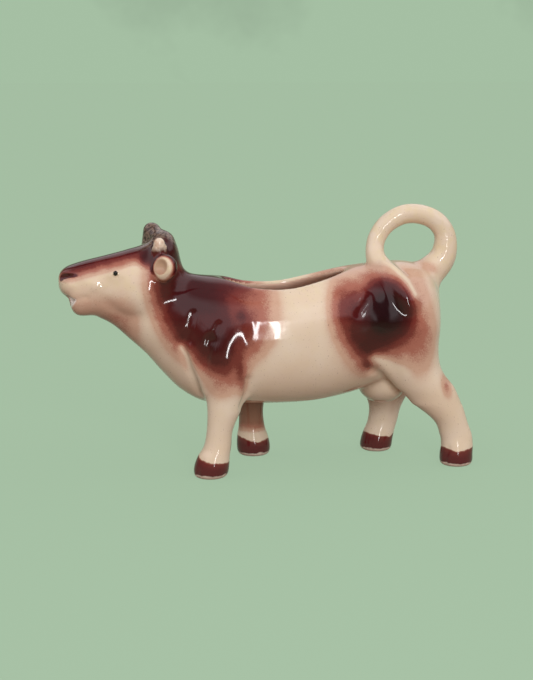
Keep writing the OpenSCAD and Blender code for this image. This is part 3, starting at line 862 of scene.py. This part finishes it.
def paint_of(points, inside):
    """The paint fields of points, by attribute name."""
    x, y, z = at = points.T
    near = (x, -np.abs(y), z)
    zone, ear_maroon, tan = ear_paint(points)
    crest = step_up(x, -56, -50) * step_up(z, 88, 92.5) * step_down(x, -36, -30) * step_up(y, -7, -3.5)
    # Painted shade: the upper far foreleg is darkened with maroon and tan.
    far_shank_painted_shade = FAR_SHANK_PAINTED_SHADE * step_up(z, 9, 17) * step_down(z, 30, 34)
    far_shank_painted_shade = far_shank_painted_shade * step_up(y, 8, 11) * step_down(np.abs(x + 1), 12, 16)
    between_lips = np.minimum(mouth_hole(at), mouth_notch(at) + 0.1)
    mouth = step_up(-x, 72, 75) * step_up(-between_lips, -0.6, -0.15)
    maroon = spray_and_painted_shade(points)
    maroon = maroon + (ear_maroon - maroon) * zone
    return {
        # The far foreleg's painted shade goes into both the maroon and the tan.
        "maroon": np.maximum(maroon, far_shank_painted_shade) * ~inside,
        "hoof": hoof_rise(points),
        "eye": EYE_R - ball_gap(near, EYE),
        "nostril": -strand(near, *NOSTRIL, *NOSTRIL_R),
        "crest": crest * (1 - zone),
        "tan": np.maximum(np.maximum(tan, far_shank_painted_shade), 0.7 * mouth * step_up(-x, *LIP_EDGE)),
        # The mouth field marks where the painted highlight between the lips goes.
        "mouth": mouth * step_down(-x, *LIP_EDGE),
        "inside": inside.astype(float),
    }


# Materials: shader nodes


def add_node(tree, kind, inputs=None, **settings):
    node = tree.nodes.new("ShaderNode" + kind)
    for name, value in settings.items():
        setattr(node, name, value)
    for name, value in (inputs or {}).items():
        if isinstance(value, bpy.types.NodeSocket):
            tree.links.new(value, node.inputs[name])
        else:
            node.inputs[name].default_value = value
    return node


def paint_field(tree, name):
    return add_node(tree, "Attribute", attribute_name=name).outputs["Fac"]


def own_place(tree):
    return add_node(tree, "TexCoord").outputs["Object"]


def own_height(tree):
    return add_node(tree, "SeparateXYZ", {"Vector": own_place(tree)}).outputs["Z"]


def grain(tree, noise):
    """Noise from 0 to 1, given by the size of its lumps in millimetres, its detail and its seed."""
    size, detail, seed = noise
    inputs = {"Vector": own_place(tree), "W": seed, "Scale": 1 / (size * MM), "Detail": detail}
    return add_node(tree, "TexNoise", inputs, noise_dimensions="4D").outputs["Fac"]


def maths(tree, operation, a, b):
    return add_node(tree, "Math", {0: a, 1: b}, operation=operation).outputs[0]


def plus(tree, a, b):
    return maths(tree, "ADD", a, b)


def times(tree, a, b):
    return maths(tree, "MULTIPLY", a, b)


def centred(tree, value):
    return maths(tree, "SUBTRACT", value, 0.5)


def jittered(tree, value, noise, amount):
    """A value moved up and down by a noise."""
    return plus(tree, value, times(tree, centred(tree, grain(tree, noise)), amount))


def fitted(tree, value, low, high, out_low=0, out_high=1):
    inputs = {"Value": value, "From Min": low, "From Max": high, "To Min": out_low, "To Max": out_high}
    return add_node(tree, "MapRange", inputs, clamp=True).outputs["Result"]


def mixed(tree, share, a, b):
    return add_node(tree, "Mix", {0: share, 6: a, 7: b}, data_type="RGBA").outputs[2]


def blended(tree, share, a, b):
    return add_node(tree, "MixShader", {0: share, 1: a.outputs[0], 2: b.outputs[0]})


def ramp(tree, value, stops):
    node = add_node(tree, "ValToRGB", {"Fac": value})
    node.color_ramp.interpolation = "EASE"
    elements = node.color_ramp.elements
    while len(elements) < len(stops):
        elements.new(0.5)
    for element, (position, colour) in zip(elements, stops):
        element.position = position
        element.color = colour
    return node.outputs["Color"]


def rgb(red, green, blue):
    """A colour given as it looks on a screen, 0 to 255, as Blender's linear one."""
    share = [c / 255 for c in (red, green, blue)]
    return (*[s / 12.92 if s <= 0.04045 else ((s + 0.055) / 1.055) ** 2.4 for s in share], 1.0)


CREAM, CREAM_WARM, STRAW, SPECK = rgb(231, 215, 192), rgb(225, 203, 176), rgb(227, 209, 172), rgb(120, 84, 60)
# The near-white between the lips, brighter than the glaze, is a painted highlight.
BISQUE, TAN, MOUTH_PAINTED_HIGHLIGHT = rgb(226, 208, 188), rgb(176, 136, 108), rgb(250, 244, 236)
INNER_PALE, INNER_DARK = rgb(232, 198, 176), rgb(212, 172, 148)
NOSTRIL_RED, PUPIL = rgb(78, 14, 18), rgb(14, 8, 7)
CREST_PALE, CREST_DARK = rgb(134, 112, 96), rgb(64, 44, 38)
NUB_PALE, NUB_DARK, HORN_ROOT = rgb(230, 210, 188), rgb(206, 168, 142), rgb(84, 20, 18)
MAROON_STOPS = [
    (0, rgb(226, 207, 182)),
    (0.14, rgb(206, 168, 143)),
    (0.32, rgb(168, 104, 86)),
    (0.52, rgb(114, 44, 37)),
    (0.74, rgb(76, 12, 14)),
    (0.9, rgb(60, 5, 9)),
    (1, rgb(30, 0, 3)),
]
# The hooves' dark maroon paint, lightened to stand in for their sheen: part paint, part painted sheen.
HOOF_PAINT_AND_SHEEN_STOPS = [(0, rgb(150, 86, 70)), (0.25, rgb(106, 40, 38)), (1, rgb(92, 28, 32))]
# Noises: size of the lumps in millimetres, detail, seed
GLOSS, SWELL, PEEL = (9, 2, 0), (5, 1, 0), (1.1, 2, 3)
CLOUDS, MOTTLES, FLECKS = (22, 2, 1), (3, 3, 10), (0.45, 0, 5)
SPATTER, DRIFT, INNER_CLOUDS = (0.5, 2, 2), (4, 3, 4), (8, 2, 0)
HOOF_EDGE, SOLE_EDGE, HORN_EDGE = (3.6, 2, 7), (3, 2, 8), (2.5, 2, 8)
HORN_CLOUDS, CREST_SPECKS = (2, 2, 9), (1.2, 3, 6)
# The glaze: its roughness, and more on bare clay; its relief, and its orange peel on the crest and everywhere
ROUGH_LOW, ROUGH_HIGH, ROUGH_BARE, GLAZE_IOR = 0.05, 0.12, 0.6, 1.43
RELIEF_DEPTH, RELIEF_STRENGTH, CREST_PEEL, GLAZE_PEEL = 0.12 * MM, 0.3, 1.4, 0.03
# Levels between which things fade: the mottling upward, the bare sole downward and the horn's nub upward
MOTTLE_LEVELS, SOLE_LEVELS, NUB_LEVELS = (66 * MM, 80 * MM), (1.9 * MM, 1.4 * MM), (92.6 * MM, 94.6 * MM)


def glaze(name, colour_of):
    """A glossy clear glaze over a colour built by colour_of(tree)."""
    material = bpy.data.materials.new(name)
    material.use_nodes = True
    tree = material.node_tree
    shader = tree.nodes["Principled BSDF"]
    colour, bare = colour_of(tree)
    rough = fitted(tree, grain(tree, GLOSS), 0.3, 0.7, ROUGH_LOW, ROUGH_HIGH)
    rough = plus(tree, rough, times(tree, bare, ROUGH_BARE))
    peel = plus(tree, times(tree, paint_field(tree, "crest"), CREST_PEEL), GLAZE_PEEL)
    relief = plus(tree, grain(tree, SWELL), times(tree, grain(tree, PEEL), peel))
    bump = add_node(tree, "Bump", {"Strength": RELIEF_STRENGTH, "Distance": RELIEF_DEPTH, "Height": relief})
    tree.links.new(colour, shader.inputs["Base Color"])
    tree.links.new(rough, shader.inputs["Roughness"])
    tree.links.new(bump.outputs["Normal"], shader.inputs["Normal"])
    shader.inputs["IOR"].default_value = GLAZE_IOR
    return material


def cream_colour(tree):
    """Speckled cream, sprayed maroon with painted shade on the face and far foreleg, hooves of maroon paint lightened
    by a painted sheen, with bare soles, a painted highlight between the lips, black eyes and a brown inside.

    Returns the colour, and how bare of glaze the clay is.
    """
    height = own_height(tree)
    cream = mixed(tree, fitted(tree, grain(tree, CLOUDS), 0.35, 0.65), CREAM, CREAM_WARM)
    upward = fitted(tree, height, *MOTTLE_LEVELS, 0.25, 0.8)
    cream = mixed(tree, times(tree, fitted(tree, grain(tree, MOTTLES), 0.4, 0.65), upward), cream, STRAW)
    # The maroon field also carries the painted shade of the lower face and of the far foreleg.
    density = paint_field(tree, "maroon")
    ragged = plus(tree, centred(tree, grain(tree, SPATTER)), centred(tree, grain(tree, DRIFT)))
    ragged = times(tree, ragged, fitted(tree, density, 0, 0.25, 0.04, 0.2))
    ragged = times(tree, ragged, fitted(tree, density, 0.7, 0.92, 1, 0.15))
    maroon = ramp(tree, plus(tree, density, ragged), MAROON_STOPS)
    colour = mixed(tree, fitted(tree, density, 0.02, 0.12), cream, maroon)
    flecks = fitted(tree, grain(tree, FLECKS), 0.77, 0.8)
    colour = mixed(tree, times(tree, flecks, fitted(tree, density, 0.1, 0.4, 0.55, 0)), colour, SPECK)
    colour = mixed(tree, times(tree, paint_field(tree, "crest"), 0.9), colour, crest_colour(tree))
    inner = mixed(tree, fitted(tree, grain(tree, INNER_CLOUDS), 0.3, 0.7), INNER_PALE, INNER_DARK)
    colour = mixed(tree, paint_field(tree, "inside"), colour, inner)
    colour = mixed(tree, paint_field(tree, "tan"), colour, TAN)
    # Painted highlight: near-white in the groove between the lips.
    colour = mixed(tree, paint_field(tree, "mouth"), colour, MOUTH_PAINTED_HIGHLIGHT)
    edge = jittered(tree, paint_field(tree, "hoof"), HOOF_EDGE, 2.4)
    # The hooves' maroon paint, lightened as a painted sheen.
    hoof = ramp(tree, fitted(tree, edge, 0, 3), HOOF_PAINT_AND_SHEEN_STOPS)
    colour = mixed(tree, fitted(tree, edge, -0.15, 0.25), colour, hoof)
    bare = fitted(tree, jittered(tree, height, SOLE_EDGE, 2 * MM), *SOLE_LEVELS)
    colour = mixed(tree, bare, colour, BISQUE)
    colour = mixed(tree, fitted(tree, paint_field(tree, "nostril"), -0.6, -0.1), colour, NOSTRIL_RED)
    colour = mixed(tree, fitted(tree, paint_field(tree, "eye"), -0.15, 0.05), colour, PUPIL)
    return colour, bare


def horn_colour(tree):
    """A cream nub on a maroon root, or rough grey-brown where the crest's colour covers it."""
    tip = fitted(tree, jittered(tree, own_height(tree), HORN_EDGE, 3 * MM), *NUB_LEVELS)
    nub = mixed(tree, fitted(tree, grain(tree, HORN_CLOUDS), 0.45, 0.65), NUB_PALE, NUB_DARK)
    colour = mixed(tree, tip, HORN_ROOT, nub)
    return mixed(tree, paint_field(tree, "crest"), colour, crest_colour(tree)), 0


def crest_colour(tree):
    return mixed(tree, fitted(tree, grain(tree, CREST_SPECKS), 0.42, 0.6), CREST_PALE, CREST_DARK)


def make_jug():
    points, skin, owner, joints, inside = make_surfaces()
    normals = unit(eased(point_normals(points, skin), skin, NORMAL_EASE))
    glazes = {"cream_glaze": glaze("cream_glaze", cream_colour), "horn_glaze": glaze("horn_glaze", horn_colour)}
    fields = paint_of(points, inside)
    for number, name in enumerate(PIECES, 1):
        own = skin[owner == number]
        caps = np.vstack([joints[joints[:, 4] == number, :4], joints[joints[:, 5] == number, 3::-1]])
        flat = np.repeat(unit(facing(points, caps)), 4, axis=0)
        corners = np.vstack([normals[own].reshape(-1, 3), flat])
        slot = "horn_glaze" if "horn" in name else "cream_glaze"
        piece, used = new_piece(name + "_glazed", points, np.vstack([own, caps]), corners, glazes[slot])
        for field, values in fields.items():
            layer = piece.data.attributes.new(field, "FLOAT", "POINT")
            layer.data.foreach_set("value", values[used].astype(np.float32))
        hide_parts(name)
        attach(piece, "root")


make_jug()


# Stage, lights and camera

TARGET = Vector((0, 0, 53.1 * MM))
AZIMUTH, ELEVATION, DISTANCE = -10.5, 10.2, 0.64
FOCAL_PX, FRAME_PX, SENSOR = 1530, 680, 36.0
# The floor: its colours to the camera and to diffuse light, how much it glows, how far it reaches in metres
SAGE, PAPER = rgb(167, 193, 165), rgb(116, 76, 56)
STAGE_GLOW, FLOOR_REACH = 0.84, 14.0
# The room: strength low down, in its pale band, high up and behind the jug, and of the sage low down
ROOM_LOW, ROOM_PALE, ROOM_TOP, ROOM_BACK, SAGE_FAR = 0.05, 1.35, 0.42, 0.75, 0.98
ROOM_TINT = (1.0, 0.955, 0.975, 1)
# Elevations in degrees between which the pale band begins, fades out high up, and the sage begins downward
BAND_FROM, BAND_TO, SAGE_FROM = (16, 24), (52, 66), (24, 2)
# The noise of the band's edge: scale, detail, roughness and how far it moves the edge
RAG_SCALE, RAG_DETAIL, RAG_ROUGH, RAG = 5.5, 5.0, 0.6, 0.42
# A dark strip of wall beside the window: tangents of the angles between which each side of it fades
WALL_LEFT, WALL_RIGHT, WALL_DARK = (0.31, 0.37), (0.66, 0.58), 0.15
# Lamps: azimuth, elevation, distance, size, radiance, whether gloss shows it
LAMPS = {
    "window": (3.6, 9.9, 1, (0.038, 0.44), 36, True),
    "window_top": (3.4, 25.5, 1, (0.042, 0.12), 36, True),
    "soft_key": (-4, 22, 1.2, (0.7, 0.6), 2.3, False),
}


def toward(azimuth, elevation):
    """The way out from the jug at angles in degrees: 0, 0 is straight out of its left side."""
    a, e = math.radians(azimuth), math.radians(elevation)
    return Vector((math.sin(a) * math.cos(e), -math.cos(a) * math.cos(e), math.sin(e)))


def place(name, data, way, distance):
    """A camera or lamp out along a way, looking back at the jug."""
    thing = add_object(name, data)
    thing.location = TARGET + distance * way
    thing.rotation_euler = way.to_track_quat("Z", "Y").to_euler()
    return thing


def add_camera():
    data = bpy.data.cameras.new("camera")
    data.sensor_width = SENSOR
    data.lens = FOCAL_PX / FRAME_PX * SENSOR
    bpy.context.scene.camera = place("camera", data, toward(AZIMUTH, ELEVATION), DISTANCE)


def add_lamp(name, azimuth, elevation, distance, size, radiance, mirrored):
    """A rectangular lamp of a given brightness, wherever it stands."""
    data = bpy.data.lights.new(name, "AREA")
    data.shape = "RECTANGLE"
    data.size, data.size_y = size
    data.energy = radiance * math.pi * size[0] * size[1]
    place(name, data, toward(azimuth, elevation), distance).visible_glossy = mirrored


def seen_rays(tree):
    """1 for what the camera sees straight, in gloss or through glass."""
    path = add_node(tree, "LightPath").outputs
    bent_rays = maths(tree, "MAXIMUM", path["Is Glossy Ray"], path["Is Transmission Ray"])
    return maths(tree, "MAXIMUM", path["Is Camera Ray"], bent_rays)


def add_floor():
    """Sage paper to the camera, with the jug's soft shadow on it, and plain brown paper to diffuse light."""
    material = bpy.data.materials.new("sage_paper")
    material.use_nodes = True
    tree = material.node_tree
    tree.nodes.clear()
    glow = add_node(tree, "Emission", {"Color": SAGE})
    lit = add_node(tree, "BsdfDiffuse", {"Color": SAGE})
    plain = add_node(tree, "BsdfDiffuse", {"Color": PAPER})
    shown = blended(tree, STAGE_GLOW, lit, glow)
    both = blended(tree, seen_rays(tree), plain, shown)
    add_node(tree, "OutputMaterial", {"Surface": both.outputs[0]})
    mesh = bpy.data.meshes.new("floor")
    corners = [(x * FLOOR_REACH, y * FLOOR_REACH, 0) for x, y in ((-1, -1), (1, -1), (1, 1), (-1, 1))]
    mesh.from_pydata(corners, [], [(0, 1, 2, 3)])
    mesh.materials.append(material)
    add_object("floor", mesh)


def levels(elevations):
    """The heights of a unit direction at elevations in degrees."""
    return [math.sin(math.radians(elevation)) for elevation in elevations]


def add_world():
    """A room with a pale band half way up, brightest at the front, and the sage of the floor low down."""
    world = bpy.data.worlds.new("room")
    world.use_nodes = True
    tree = world.node_tree
    way = add_node(tree, "TexCoord").outputs["Generated"]
    parts = add_node(tree, "SeparateXYZ", {"Vector": way}).outputs
    inputs = {"Vector": way, "Scale": RAG_SCALE, "Detail": RAG_DETAIL, "Roughness": RAG_ROUGH}
    ragged = centred(tree, add_node(tree, "TexNoise", inputs).outputs["Fac"])
    rise = plus(tree, parts["Z"], times(tree, ragged, RAG))
    pale = fitted(tree, rise, *levels(BAND_FROM), ROOM_LOW, ROOM_PALE)
    pale = times(tree, pale, fitted(tree, parts["Z"], *levels(BAND_TO), 1, ROOM_TOP))
    pale = times(tree, pale, fitted(tree, parts["Y"], -0.1, 0.5, 1, ROOM_BACK))
    aside = maths(tree, "DIVIDE", parts["X"], times(tree, parts["Y"], -1))
    wall = times(tree, fitted(tree, aside, *WALL_LEFT), fitted(tree, aside, *WALL_RIGHT))
    pale = times(tree, pale, fitted(tree, wall, 0, 1, 1, WALL_DARK))
    background = tree.nodes["Background"]
    background.inputs["Color"].default_value = ROOM_TINT
    tree.links.new(pale, background.inputs["Strength"])
    sage = add_node(tree, "Background", {"Color": SAGE, "Strength": SAGE_FAR})
    share = times(tree, fitted(tree, rise, *levels(SAGE_FROM)), seen_rays(tree))
    both = blended(tree, share, background, sage)
    tree.links.new(both.outputs[0], tree.nodes["World Output"].inputs["Surface"])
    bpy.context.scene.world = world


add_camera()
add_floor()
add_world()
for lamp, settings in LAMPS.items():
    add_lamp(lamp, *settings)
bpy.context.scene.view_settings.view_transform = "Standard"
